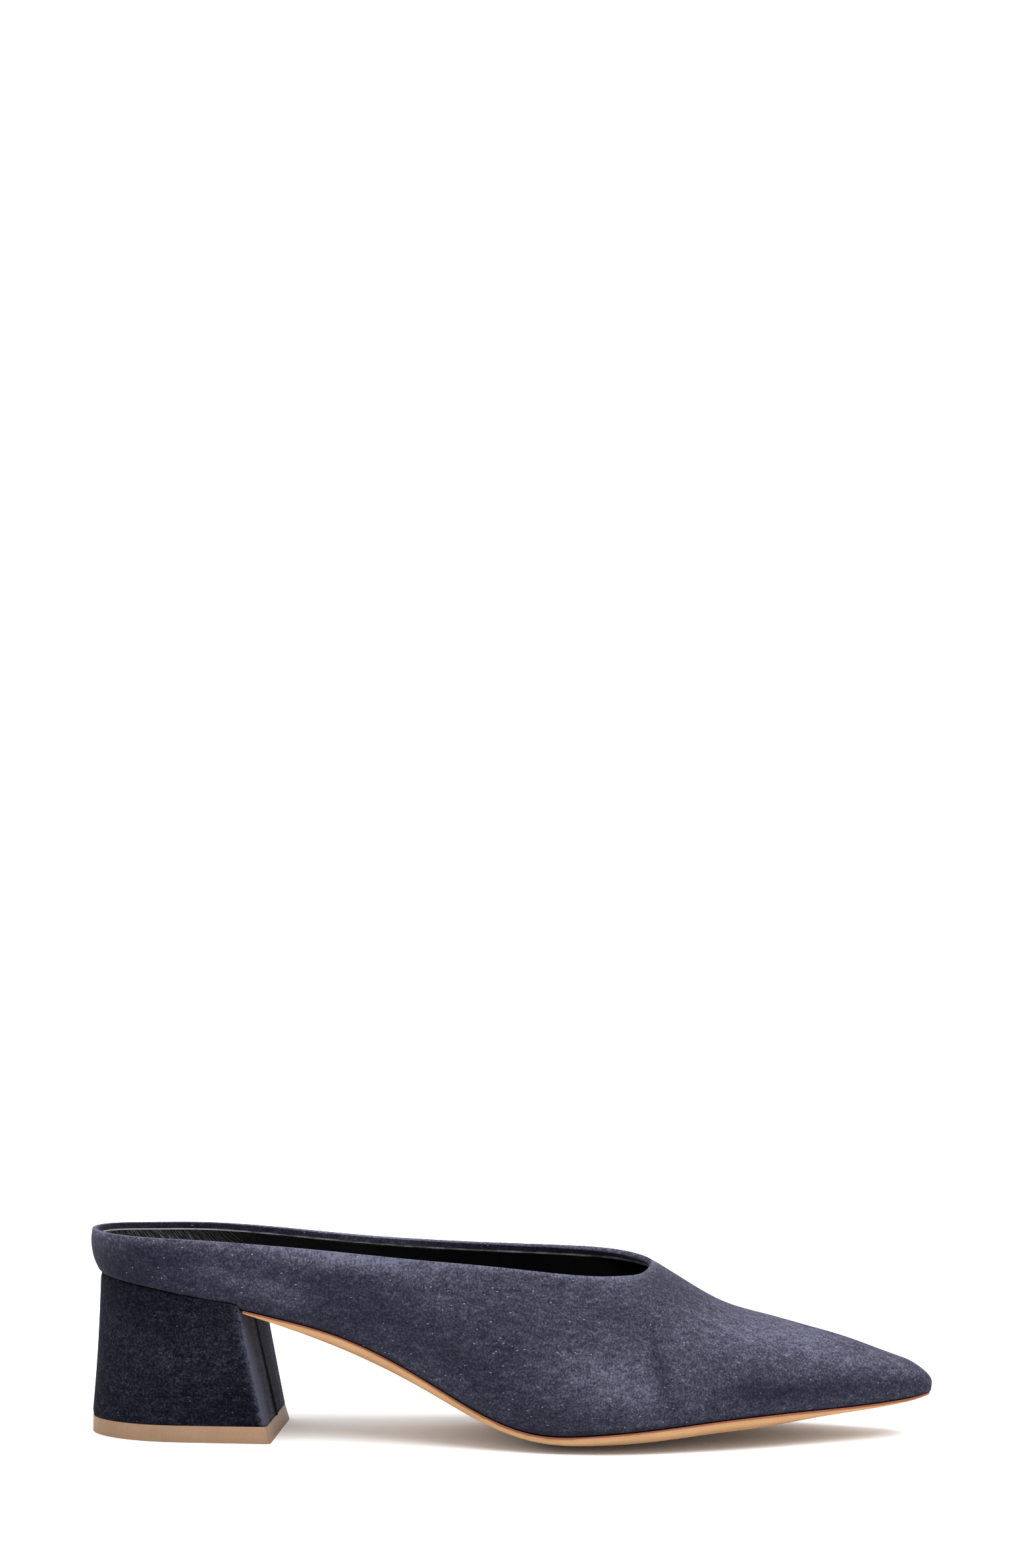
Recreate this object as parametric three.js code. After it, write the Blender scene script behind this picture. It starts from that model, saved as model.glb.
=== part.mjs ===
// A right-foot mule with a pointed toe, a low collar all round and a covered block heel, in millimetres.
// +X runs from the heel to the toe along the heel's centreline, +Y to the inner (medial) side of the
// foot and +Z up. The origin is the centre of the heel's top piece, on the floor.
import * as THREE from "three";

// The last: the shape that the upper is pulled over
const lastLength = 267.6; // back of the heel seat to the tip of the toe
const ballWidth = 70; // across the feather edge, where the upper meets the sole, at the ball
const heelHeight = 51.8; // floor to the feather edge at the back of the seat
const instepHeight = 51; // feather edge to the ridge of the vamp, at the throat
const toeSpring = 8.4; // lift of the toe's feather edge over that of the ball
const toeSwing = 10.5; // the toe's tip towards the inner side of the heel's centreline
const noseLength = 8.5; // rounded end of the toe
const bottomCrown = 3; // how far the last's bottom bulges below its feather edge at the ball

// The upper
const upperWall = 2; // suede and lining together
const collarHeight = 13.8; // feather edge to the top of the collar, at the back
const throatShare = 0.667; // where the opening ends, as a share of lastLength

// The sole and the insole
const soleThickness = 3.1;
const soleEdge = 0.5; // how far the outsole stands out past the upper
const soleTread = 0.6; // how much of the outsole's bulge is flat on the floor
const insoleThickness = 3.1; // insole board and its sock together
const insoleNose = 4; // rounded front end of the insole
const insoleSetback = 4.25; // how far the insole stops short of the upper's inside at the toe
const jointGap = 0.3; // clearance between pieces that are cemented together

// The heel block and its top piece
const topPieceLength = 61;
const topPieceWidth = 45;
const topPieceThickness = 5.2;
const topPieceFlare = 1.3; // how far the top piece widens from the heel to the floor, at its front
const heelRake = 2.5; // how far the heel's back leans out from the seat to the floor
const heelTopLength = 49.3; // back of the seat to the heel's breast, at the top
const heelHollow = 0.4; // how far the heel's back and sides curve in at mid-height
const heelCorner = 1.6; // radius of the heel's upright front corners
const heelCoverInset = 0.3; // how far the heel's top edge lies inside the feather edge
const heelTaper = 0.035; // how much narrower the heel's foot is at its back, as a share of its width

const NAVY_SUEDE = 0x383a4c;
const DARK_SUEDE = 0x2a2c3d;
const TAN_LEATHER = 0xc99a66;
const BLACK_LEATHER = 0x141416;
const TAUPE_RUBBER = 0xb0927a;

// The last's sections. along is a share of lastLength from the back of the seat. lateral and medial are
// the feather edge from the last's axis, and overLateral and overMedial how far the wall swells out past
// it, as shares of ballWidth. swing is the axis as a share of toeSwing, rise the feather edge as a share
// of the heel's lift and spring as a share of toeSpring. swell is the height of the widest line and ridge
// the height of the ridge, both over the feather edge and as shares of instepHeight; behind the throat the
// ridge is only what the walls lean towards. lean is the ridge from the axis, as a share of ballWidth, and
// crown is the bottom's bulge as a share of bottomCrown. middle and edge are the outsole's thickness there,
// as shares of soleThickness.
const SECTIONS = [
  { along: 0.0, lateral: 0.338, medial: 0.338, swing: 0, rise: 1, spring: 0, crown: 0.4,
    overLateral: 0.042, overMedial: 0.042, swell: 0.215, ridge: 1.06, lean: 0,
    middle: 0.1, edge: 0.1 },
  { along: 0.1, lateral: 0.346, medial: 0.352, swing: 0, rise: 0.92, spring: 0, crown: 0.45,
    overLateral: 0.033, overMedial: 0.034, swell: 0.215, ridge: 1.06, lean: 0,
    middle: 0.1, edge: 0.06 },
  { along: 0.2, lateral: 0.36, medial: 0.374, swing: 0, rise: 0.791, spring: 0, crown: 0.5,
    overLateral: 0.035, overMedial: 0.038, swell: 0.22, ridge: 1.08, lean: 0.005,
    middle: 0.45, edge: 0.36 },
  { along: 0.3, lateral: 0.362, medial: 0.36, swing: 0, rise: 0.641, spring: 0, crown: 0.5,
    overLateral: 0.043, overMedial: 0.057, swell: 0.24, ridge: 1.14, lean: 0.02,
    middle: 1, edge: 1.08 },
  { along: 0.4, lateral: 0.382, medial: 0.346, swing: 0.01, rise: 0.365, spring: 0, crown: 0.55,
    overLateral: 0.057, overMedial: 0.088, swell: 0.275, ridge: 1.28, lean: 0.035,
    middle: 1, edge: 0.95 },
  { along: 0.5, lateral: 0.44, medial: 0.418, swing: 0.05, rise: 0.06, spring: 0, crown: 0.8,
    overLateral: 0.064, overMedial: 0.088, swell: 0.285, ridge: 1.41, lean: 0.045,
    middle: 1, edge: 0.68 },
  { along: 0.55, lateral: 0.478, medial: 0.466, swing: 0.11, rise: 0, spring: 0, crown: 0.96,
    overLateral: 0.064, overMedial: 0.076, swell: 0.275, ridge: 1.36, lean: 0.046,
    middle: 1, edge: 0.72 },
  { along: 0.6, lateral: 0.502, medial: 0.5, swing: 0.19, rise: 0, spring: 0.06, crown: 1,
    overLateral: 0.06, overMedial: 0.06, swell: 0.26, ridge: 1.2, lean: 0.045,
    middle: 1, edge: 0.92 },
  { along: 0.65, lateral: 0.502, medial: 0.503, swing: 0.285, rise: 0, spring: 0.19, crown: 0.96,
    overLateral: 0.054, overMedial: 0.05, swell: 0.24, ridge: 0.998, lean: 0.042,
    middle: 1, edge: 1.05 },
  { along: 0.7, lateral: 0.473, medial: 0.474, swing: 0.38, rise: 0, spring: 0.345, crown: 0.85,
    overLateral: 0.046, overMedial: 0.042, swell: 0.215, ridge: 0.806, lean: 0.037,
    middle: 1, edge: 1.08 },
  { along: 0.75, lateral: 0.428, medial: 0.418, swing: 0.48, rise: 0, spring: 0.5, crown: 0.7,
    overLateral: 0.038, overMedial: 0.035, swell: 0.185, ridge: 0.628, lean: 0.03,
    middle: 1, edge: 1.07 },
  { along: 0.8, lateral: 0.37, medial: 0.358, swing: 0.58, rise: 0, spring: 0.607, crown: 0.55,
    overLateral: 0.031, overMedial: 0.029, swell: 0.155, ridge: 0.537, lean: 0.022,
    middle: 1, edge: 1.07 },
  { along: 0.85, lateral: 0.303, medial: 0.29, swing: 0.69, rise: 0, spring: 0.68, crown: 0.42,
    overLateral: 0.025, overMedial: 0.024, swell: 0.125, ridge: 0.455, lean: 0.015,
    middle: 0.9, edge: 0.76 },
  { along: 0.9, lateral: 0.23, medial: 0.22, swing: 0.8, rise: 0, spring: 0.73, crown: 0.3,
    overLateral: 0.02, overMedial: 0.019, swell: 0.095, ridge: 0.3735, lean: 0.009,
    middle: 0.74, edge: 0.5 },
  { along: 0.95, lateral: 0.153, medial: 0.149, swing: 0.91, rise: 0, spring: 0.82, crown: 0.2,
    overLateral: 0.015, overMedial: 0.014, swell: 0.074, ridge: 0.262, lean: 0.004,
    middle: 0.55, edge: 0.38 },
  { along: 1.0, lateral: 0.078, medial: 0.078, swing: 1, rise: 0, spring: 1, crown: 0.1,
    overLateral: 0.009, overMedial: 0.009, swell: 0.042, ridge: 0.15, lean: 0,
    middle: 0.32, edge: 0.2 },
];

// The topline of each side. along is a share of the opening from the back to the throat. The two falls
// are shares of the drop from the top of the collar to the throat; over 1 the line dips below the throat.
const TOPLINE = [
  { along: 0.0, lateralFall: 0, medialFall: 0 },
  { along: 0.07, lateralFall: 0.02, medialFall: 0.115 },
  { along: 0.17, lateralFall: 0.05, medialFall: 0.167 },
  { along: 0.3, lateralFall: 0.167, medialFall: 0.3125 },
  { along: 0.44, lateralFall: 0.354, medialFall: 0.52 },
  { along: 0.58, lateralFall: 0.57, medialFall: 0.66 },
  { along: 0.72, lateralFall: 0.755, medialFall: 0.765 },
  { along: 0.84, lateralFall: 0.965, medialFall: 0.83 },
  { along: 0.93, lateralFall: 1.11, medialFall: 0.875 },
  { along: 0.97, lateralFall: 1.15, medialFall: 0.93 },
  { along: 0.99, lateralFall: 1.115, medialFall: 0.97 },
  { along: 1.0, lateralFall: 1, medialFall: 1 },
];

const LATERAL = -1;
const MEDIAL = 1;
const BACK_SHARE = 0.115; // the round back of the seat, as a share of lastLength
const BACK_STEPS = 9;
const NOSE_STEPS = 6;
const SIDE_STEPS = 18;
const THROAT_STEPS = 7;
const THROAT_RUN = 0.06; // the last of the topline before the throat, as a share of lastLength
const VAMP_STEPS = 15;
const SOLE_STEPS = 30;
const HEEL_STEPS = 7;
const HEEL_LEVELS = 8;
const CORNER_STEPS = 4;
const WALL_ROWS = 10;
const ACROSS_STEPS = 8;
const LOWER_PULL = 0.35; // how steeply the wall leaves the feather edge
const CLOSING_POWER = 4; // how late the rows of a wall close up towards the topline, at the throat
const ROW_SPREAD = 0.9; // under 1, so that the last row of a low wall keeps some height
const CURVE_SAMPLES = 48;

const seatBack = heelRake - topPieceLength / 2;
const breastTop = seatBack + heelTopLength;
const ballFeather = soleThickness + jointGap + bottomCrown - soleTread;
const heelFloor = topPieceThickness + jointGap;
const noseShare = noseLength / lastLength;
const breastLean = (topPieceLength / 2 - topPieceFlare - breastTop) / (heelHeight - heelFloor);

const lerp = THREE.MathUtils.lerp;
const clamp = THREE.MathUtils.clamp;

// A natural cubic spline through one column of a table, as a function of its along column.
function smoothColumn(rows, column) {
  const x = rows.map((row) => row.along);
  const y = rows.map((row) => row[column]);
  const last = x.length - 1;
  const slopeAt = (i) => (y[i + 1] - y[i]) / (x[i + 1] - x[i]);
  const upper = [0];
  const right = [0];
  for (let i = 1; i < last; i++) {
    const before = x[i] - x[i - 1];
    const after = x[i + 1] - x[i];
    const pivot = 2 * (before + after) - before * upper[i - 1];
    upper.push(after / pivot);
    right.push((6 * (slopeAt(i) - slopeAt(i - 1)) - before * right[i - 1]) / pivot);
  }
  const bend = new Array(last + 1).fill(0);
  for (let i = last - 1; i > 0; i--) bend[i] = right[i] - upper[i] * bend[i + 1];
  return (at) => {
    let i = 0;
    while (i < last - 1 && at > x[i + 1]) i++;
    const width = x[i + 1] - x[i];
    const far = (at - x[i]) / width;
    const near = 1 - far;
    const curve = (near ** 3 - near) * bend[i] + (far ** 3 - far) * bend[i + 1];
    return near * y[i] + far * y[i + 1] + (curve * width * width) / 6;
  };
}

const column = Object.fromEntries(
  Object.keys(SECTIONS[0]).slice(1).map((name) => [name, smoothColumn(SECTIONS, name)]),
);
const toplineFall = {
  [LATERAL]: smoothColumn(TOPLINE, "lateralFall"),
  [MEDIAL]: smoothColumn(TOPLINE, "medialFall"),
};

const xAt = (share) => seatBack + share * lastLength;
const shareAt = (x) => (x - seatBack) / lastLength;
const featherAt = (share) =>
  ballFeather + (heelHeight - ballFeather) * column.rise(share) + toeSpring * column.spring(share);

// A quarter of a round: from 0 at the end of a rounded run to 1 where the run is over.
const quarterRound = (t) => Math.sqrt(1 - (1 - clamp(t, 0, 1)) ** 2);

// How round ends close the plan: 1 along the sides, falling to 0 at the back of the seat and at the tip.
const backRound = (share) => quarterRound(share / BACK_SHARE);
const noseRound = (share) => quarterRound((1 - share) / noseShare);
const roundAt = (share) => backRound(share) * noseRound(share);

// One station of the last: a plan position on its outline, the way out of it, and its heights.
function stationAt(share, side) {
  const nose = noseRound(share);
  const half = ballWidth * (side === MEDIAL ? column.medial(share) : column.lateral(share)) * nose;
  const over = ballWidth * (side === MEDIAL ? column.overMedial(share) : column.overLateral(share));
  const back = backRound(share);
  const axis = toeSwing * column.swing(share);
  const feather = featherAt(share);
  const swell = instepHeight * column.swell(share);
  const backward = Math.max(0, 1 - share / BACK_SHARE);
  return {
    share,
    foot: new THREE.Vector3(xAt(share), axis + side * half * back, feather),
    out: new THREE.Vector3(-backward, side * back, 0).normalize(),
    over: over * nose,
    inward: half + (over - side * ballWidth * column.lean(share)) * nose,
    swell,
    arch: (instepHeight * column.ridge(share) - swell) * nose,
  };
}

// The wall of the upper at a station, as points from the feather edge up to the ridge.
function fullWall(station) {
  const points = [];
  const lift = (out, up) => station.foot.clone().addScaledVector(station.out, out).setZ(station.foot.z + up);
  for (let i = 0; i < CURVE_SAMPLES; i++) {
    const t = i / CURVE_SAMPLES;
    const out = station.over * (1 - (1 - t) ** 2);
    points.push(lift(out, station.swell * (2 * t * (1 - t) * LOWER_PULL + t * t)));
  }
  for (let i = 0; i <= CURVE_SAMPLES; i++) {
    const angle = ((i / CURVE_SAMPLES) * Math.PI) / 2;
    const out = station.over - station.inward * (1 - Math.cos(angle));
    points.push(lift(out, station.swell + station.arch * Math.sin(angle)));
  }
  return points;
}

const throatHeight = featherAt(throatShare) + instepHeight * column.ridge(throatShare);

function toplineHeight(share, side) {
  const top = heelHeight + collarHeight;
  return lerp(top, throatHeight, toplineFall[side](share / throatShare));
}

// The length of a wall up to where it reaches a height.
function lengthBelow(points, height) {
  let run = 0;
  for (let i = 1; i < points.length; i++) {
    const step = points[i].distanceTo(points[i - 1]);
    const climb = points[i].z - points[i - 1].z;
    if (points[i].z > height) return run + (step * (height - points[i - 1].z)) / climb;
    run += step;
  }
  return run;
}

// Points along a line at the given distances from its start.
function pointsAlong(points, distances) {
  const run = [0];
  for (let i = 1; i < points.length; i++) run.push(run[i - 1] + points[i].distanceTo(points[i - 1]));
  let at = 0;
  return distances.map((wanted) => {
    while (at < points.length - 2 && run[at + 1] < wanted) at++;
    const span = run[at + 1] - run[at];
    return points[at].clone().lerp(points[at + 1], span > 0 ? clamp((wanted - run[at]) / span, 0, 1) : 0);
  });
}

// The rows of points up one side of the upper at a station. Where the wall is nearly as tall as the vamp,
// only its upper rows close up towards the topline, so the rows run on smoothly past the throat.
function upperWallAt(share, side) {
  const points = fullWall(stationAt(share, side));
  const whole = lengthBelow(points, Infinity);
  const open = share < throatShare;
  const kept = open ? lengthBelow(points, toplineHeight(share, side)) / whole : 1;
  const power = kept < 1 ? Math.min(CLOSING_POWER, 1 + (ROW_SPREAD * kept) / (1 - kept)) : CLOSING_POWER;
  const distances = [];
  for (let i = 0; i <= WALL_ROWS; i++) {
    const up = i / WALL_ROWS;
    distances.push(whole * (up - (1 - kept) * up ** power));
  }
  return pointsAlong(points, distances);
}

// Shares of a run from 0 to 1, without its end but for roundedEnd: the rounded ones stand close together
// where the end of the run turns.
const evenSteps = (steps) => Array.from({ length: steps }, (_, i) => i / steps);
const roundedStart = (steps) => evenSteps(steps).map((t) => 1 - Math.cos((t * Math.PI) / 2));
const roundedEnd = (steps) => [...evenSteps(steps), 1].map((t) => Math.sin((t * Math.PI) / 2));

// Shares of the length at which sections stand: close together round the seat, the throat and the nose.
function stationShares() {
  return [
    ...roundedStart(BACK_STEPS).map((t) => BACK_SHARE * t),
    ...evenSteps(SIDE_STEPS).map((t) => lerp(BACK_SHARE, throatShare - THROAT_RUN, t)),
    ...evenSteps(THROAT_STEPS).map((t) => throatShare - THROAT_RUN * (1 - t) ** 2),
    ...evenSteps(VAMP_STEPS).map((t) => lerp(throatShare, 1 - noseShare, t)),
    ...roundedEnd(NOSE_STEPS).map((t) => 1 - noseShare * (1 - t)),
  ];
}

// A surface of triangles whose points are shared wherever they fall in the same place.
class Sheet {
  constructor() {
    this.points = [];
    this.triangles = [];
    this.known = new Map();
  }
  point(p) {
    const key = [p.x, p.y, p.z].map((v) => Math.round(v * 1e4)).join();
    if (!this.known.has(key)) {
      this.known.set(key, this.points.length);
      this.points.push(p.clone());
    }
    return this.known.get(key);
  }
  triangle(a, b, c) {
    if (a !== b && b !== c && c !== a) this.triangles.push([a, b, c]);
  }
  // A grid of points as quads, each cut along its shorter diagonal.
  grid(rows) {
    const at = rows.map((row) => row.map((p) => this.point(p)));
    for (let i = 0; i + 1 < at.length; i++) {
      for (let j = 0; j + 1 < at[i].length; j++) {
        const [a, b, c, d] = [at[i][j], at[i + 1][j], at[i + 1][j + 1], at[i][j + 1]];
        const first = this.points[a].distanceTo(this.points[c]);
        const second = this.points[b].distanceTo(this.points[d]);
        if (first <= second) {
          this.triangle(a, b, c);
          this.triangle(a, c, d);
        } else {
          this.triangle(a, b, d);
          this.triangle(b, c, d);
        }
      }
    }
  }
  normals() {
    const sums = this.points.map(() => new THREE.Vector3());
    for (const [a, b, c] of this.triangles) {
      const ab = this.points[b].clone().sub(this.points[a]);
      const ac = this.points[c].clone().sub(this.points[a]);
      const face = ab.cross(ac);
      for (const i of [a, b, c]) sums[i].add(face);
    }
    return sums.map((sum) => sum.normalize());
  }
  // The closed solid between this sheet and a copy of it whose points are moved by a function.
  thicken(moved) {
    const count = this.points.length;
    const normals = this.normals();
    const far = this.points.map((p, i) => moved(p, normals[i], i));
    const faces = this.triangles.map((t) => [...t]);
    const edges = new Set(this.triangles.flatMap(([a, b, c]) => [`${a},${b}`, `${b},${c}`, `${c},${a}`]));
    for (const [a, b, c] of this.triangles) {
      faces.push([a + count, c + count, b + count]);
      for (const [from, to] of [[a, b], [b, c], [c, a]]) {
        if (edges.has(`${to},${from}`)) continue;
        faces.push([to, from, from + count], [to, from + count, to + count]);
      }
    }
    return closedGeometry([...this.points, ...far], faces);
  }
  geometry() {
    return closedGeometry(this.points, this.triangles);
  }
}

function closedGeometry(points, triangles) {
  const geometry = new THREE.BufferGeometry();
  geometry.setAttribute("position", new THREE.Float32BufferAttribute(points.flatMap((p) => p.toArray()), 3));
  geometry.setIndex(triangles.flat());
  geometry.computeVertexNormals();
  return geometry;
}

// How far a point lies from the last's axis, as a share of the half width there: 1 on the feather edge.
function acrossAt(x, y) {
  const share = clamp(shareAt(x), 0, 1);
  const axis = toeSwing * column.swing(share);
  const half = ballWidth * roundAt(share) * (y > axis ? column.medial(share) : column.lateral(share));
  return half > 0 ? clamp(Math.abs(y - axis) / half, 0, 1) : 1;
}

// The underside of the last: level with the feather edge at its rim and bulging below it between.
function lastBottom(x, y) {
  const share = clamp(shareAt(x), 0, 1);
  const bulge = bottomCrown * column.crown(share) * roundAt(share);
  return featherAt(share) - bulge * (1 - acrossAt(x, y) ** 3);
}

function upperGeometry() {
  const sheet = new Sheet();
  const shares = stationShares();
  sheet.grid(shares.map((share) => upperWallAt(share, LATERAL)));
  sheet.grid(shares.map((share) => upperWallAt(share, MEDIAL)).reverse());
  // the feet stay on the feather edge and move straight in from the outline
  const feet = new Map();
  for (const share of shares) {
    for (const side of [LATERAL, MEDIAL]) {
      const { foot, out } = stationAt(share, side);
      const forward = Math.max(0, 1 - (1 - share) / noseShare);
      const way = out.clone().multiplyScalar(noseRound(share)).setX(out.x + forward).normalize();
      feet.set(sheet.point(foot), way);
    }
  }
  return sheet.thicken((point, normal, i) => {
    if (feet.has(i)) return point.clone().addScaledVector(feet.get(i), -upperWall);
    return point.clone().addScaledVector(normal, -upperWall);
  });
}

// A row of points straight across the last at x, reaching past its outline by grow, at heights from a
// function of x and y.
function rowAcross(x, grow, heightAt) {
  const share = shareAt(x);
  const axis = toeSwing * column.swing(share);
  const round = roundAt(share);
  const lateral = axis - round * (ballWidth * column.lateral(share) + grow);
  const medial = axis + round * (ballWidth * column.medial(share) + grow);
  return pointsAcross(x, lateral, medial, heightAt);
}

function pointsAcross(x, from, to, heightAt) {
  const points = [];
  for (let j = 0; j <= ACROSS_STEPS; j++) {
    // closer together at the two edges, where the surface turns
    const y = lerp(from, to, (1 - Math.cos((j / ACROSS_STEPS) * Math.PI)) / 2);
    points.push(new THREE.Vector3(x, y, heightAt(x, y)));
  }
  return points;
}

// The closed solid through a pile of levels, lowest first. A level is rows of points across the piece,
// back to front, each row running from the lateral to the medial side.
function pile(levels) {
  const sheet = new Sheet();
  const rim = (rows) => {
    const end = rows[0].length - 1;
    return [
      ...rows.map((row) => row[0]),
      ...rows[rows.length - 1].slice(1, end),
      ...rows.map((row) => row[end]).reverse(),
      ...rows[0].slice(1, end).reverse(),
      rows[0][0],
    ];
  };
  sheet.grid([...levels[0]].reverse());
  sheet.grid(levels[levels.length - 1]);
  const rims = levels.map(rim);
  sheet.grid(rims[0].map((_, i) => rims.map((line) => line[i])));
  return sheet.geometry();
}

const material = (color, roughness) => new THREE.MeshStandardMaterial({ color, roughness, metalness: 0 });

function piece(name, geometry, finish) {
  const mesh = new THREE.Mesh(geometry, finish);
  mesh.name = name;
  return mesh;
}

// The outsole: from the heel's breast to the tip of the toe, thin at both of its ends.
function outsoleGeometry() {
  const from = breastTop + jointGap + breastLean * soleThickness;
  const to = xAt(1 - noseShare);
  const xs = [
    ...evenSteps(SOLE_STEPS).map((t) => lerp(from, to, t)),
    ...roundedEnd(NOSE_STEPS).map((t) => to + noseLength * t),
  ];
  const top = (x, y) => lastBottom(x, y) - jointGap;
  const thick = (x, y) => {
    const share = clamp(shareAt(x), 0, 1);
    return soleThickness * lerp(column.middle(share), column.edge(share), acrossAt(x, y) ** 2);
  };
  const bottom = (x, y) => Math.max(0, top(x, y) - thick(x, y));
  const rows = (heightAt) => xs.map((x) => rowAcross(x, soleEdge, heightAt));
  return pile([rows(bottom), rows(top)]);
}

// The insole: the board and its sock, inside the upper's walls.
function insoleGeometry() {
  const inset = upperWall + 2 * jointGap;
  const back = seatBack + inset;
  const front = xAt(1) - upperWall - insoleSetback;
  const seatTurn = BACK_SHARE * lastLength - inset;
  const xs = [
    ...roundedStart(BACK_STEPS - 1).map((t) => back + seatTurn * t),
    ...evenSteps(SOLE_STEPS - 4).map((t) => lerp(back + seatTurn, front - insoleNose, t)),
    ...roundedEnd(CORNER_STEPS).map((t) => front - insoleNose * (1 - t)),
  ];
  const rows = (lift) =>
    xs.map((x) => {
      const share = shareAt(x);
      const axis = toeSwing * column.swing(share);
      const turned = quarterRound((x - back) / seatTurn) * quarterRound((front - x) / insoleNose);
      const lateral = axis - turned * (ballWidth * column.lateral(share) - inset);
      const medial = axis + turned * (ballWidth * column.medial(share) - inset);
      return pointsAcross(x, lateral, medial, (px, py) => lastBottom(px, py) + lift);
    });
  return pile([rows(0), rows(insoleThickness)]);
}

// The plan of the heel at one level, as rows across: a round back and a straight front with small corners.
function heelPlan(back, front, halfAt, heightAt) {
  const turn = BACK_SHARE * lastLength;
  const xs = [
    ...roundedStart(BACK_STEPS).map((t) => back + turn * t),
    ...evenSteps(HEEL_STEPS).map((t) => lerp(back + turn, front - heelCorner, t)),
    ...roundedEnd(CORNER_STEPS).map((t) => front - heelCorner * (1 - t)),
  ];
  return xs.map((x) => {
    const round = quarterRound((x - back) / turn);
    const cut = heelCorner * (1 - quarterRound((front - x) / heelCorner));
    const [lateral, medial] = halfAt(x, (x - back) / (front - back));
    return pointsAcross(x, -round * lateral + cut, round * medial - cut, heightAt);
  });
}

// The plan of the heel's top, just inside the feather edge.
const topPlan = (heightAt) =>
  heelPlan(
    seatBack + heelCoverInset,
    breastTop,
    (x) => {
      const share = clamp(shareAt(x), 0, 1);
      return [column.lateral(share), column.medial(share)].map((half) => half * ballWidth - heelCoverInset);
    },
    heightAt,
  );

// The plan of the top piece on the floor and, narrowed at the front by its flare, of the heel above it.
const floorPlan = (height, narrow = 0) =>
  heelPlan(
    -topPieceLength / 2,
    topPieceLength / 2 - narrow,
    (x, share) => {
      const half = topPieceWidth / 2 - narrow * share - heelTaper * (1 - share) * topPieceWidth;
      return [half, half];
    },
    () => height,
  );

function heelGeometry() {
  const top = topPlan((x, y) => lastBottom(x, y) - jointGap);
  const foot = floorPlan(heelFloor, topPieceFlare);
  const topCentre = (seatBack + breastTop) / 2;
  const levelAt = (t) =>
    foot.map((row, i) =>
      row.map((p, j) => {
        const made = p.clone().lerp(top[i][j], t);
        const out = new THREE.Vector3(Math.min(0, made.x - topCentre * t), made.y, 0).normalize();
        return made.addScaledVector(out, -heelHollow * Math.sin(Math.PI * t));
      }),
    );
  return pile([...evenSteps(HEEL_LEVELS).map(levelAt), top]);
}

function topPieceGeometry() {
  return pile([floorPlan(0), floorPlan(topPieceThickness, topPieceFlare)]);
}

const suede = material(NAVY_SUEDE, 0.95);

const shoe = new THREE.Group();
shoe.add(piece("upper", upperGeometry(), suede));
shoe.add(piece("insole", insoleGeometry(), material(BLACK_LEATHER, 0.6)));
shoe.add(piece("outsole", outsoleGeometry(), material(TAN_LEATHER, 0.6)));
shoe.add(piece("heel", heelGeometry(), material(DARK_SUEDE, 0.95)));
shoe.add(piece("top_piece", topPieceGeometry(), material(TAUPE_RUBBER, 0.7)));

export default shoe;
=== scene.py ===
import math

import bmesh
import bpy
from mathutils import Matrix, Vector, noise
from mathutils.bvhtree import BVHTree
from mathutils.kdtree import KDTree


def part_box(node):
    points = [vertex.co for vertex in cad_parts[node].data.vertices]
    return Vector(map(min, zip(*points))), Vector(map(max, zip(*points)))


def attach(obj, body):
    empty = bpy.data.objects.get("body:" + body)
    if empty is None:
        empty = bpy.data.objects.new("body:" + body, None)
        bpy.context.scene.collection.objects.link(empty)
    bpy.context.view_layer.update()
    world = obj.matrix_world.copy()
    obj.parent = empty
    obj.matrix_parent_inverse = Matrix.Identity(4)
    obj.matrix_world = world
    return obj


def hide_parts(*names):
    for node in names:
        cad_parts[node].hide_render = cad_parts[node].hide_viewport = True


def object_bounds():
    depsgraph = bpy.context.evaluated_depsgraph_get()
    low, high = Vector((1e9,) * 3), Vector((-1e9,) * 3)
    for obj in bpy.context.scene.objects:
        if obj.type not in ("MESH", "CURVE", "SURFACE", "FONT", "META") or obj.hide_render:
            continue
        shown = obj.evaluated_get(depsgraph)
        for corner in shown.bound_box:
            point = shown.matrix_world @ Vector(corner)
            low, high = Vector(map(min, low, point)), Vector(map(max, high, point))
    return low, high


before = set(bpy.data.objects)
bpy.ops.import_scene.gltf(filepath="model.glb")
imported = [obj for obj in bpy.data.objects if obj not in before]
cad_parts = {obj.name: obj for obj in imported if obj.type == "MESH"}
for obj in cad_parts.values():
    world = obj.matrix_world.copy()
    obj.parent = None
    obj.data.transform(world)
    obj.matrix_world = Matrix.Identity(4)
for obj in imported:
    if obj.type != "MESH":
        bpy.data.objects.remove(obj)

cad_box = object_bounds()
MM = 0.001
LATERAL, MEDIAL = -1, 1  # the outer side of a right shoe is towards -Y

# Sizes of what is worked onto the solids, in metres
RIM_RADIUS = 0.85 * MM  # rounding of the collar where the suede is folded over
TURNED_EDGE = 1.9 * MM  # how far the folded suede reaches down inside
SKIVED_EDGE = 0.3 * MM  # height of the lining's slanted cut edge
LINING_THICKNESS = 0.5 * MM
LINING_CLEARANCE = 0.1 * MM
FOLD_MARGIN = 4.0 * MM  # the folds die out this far from the collar
PILE = 0.3 * MM  # the nap stands this proud of the skin
NOSE_FULLNESS = 0.55 * MM  # how far the suede rounds out over the toe's tip
NOSE_REACH = 7 * MM  # how far back from the tip it does so
NOSE_LEVEL = 0.265  # the height where it is fullest, as a share of the shoe's height
NOSE_SPREAD = 3.2 * MM  # how far above and below that level it fades
UNEVENNESS = 0.16 * MM  # how far hand lasting leaves the suede from a perfect surface
UNEVEN_SIZE = 30 * MM  # how wide one such hollow is
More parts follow.
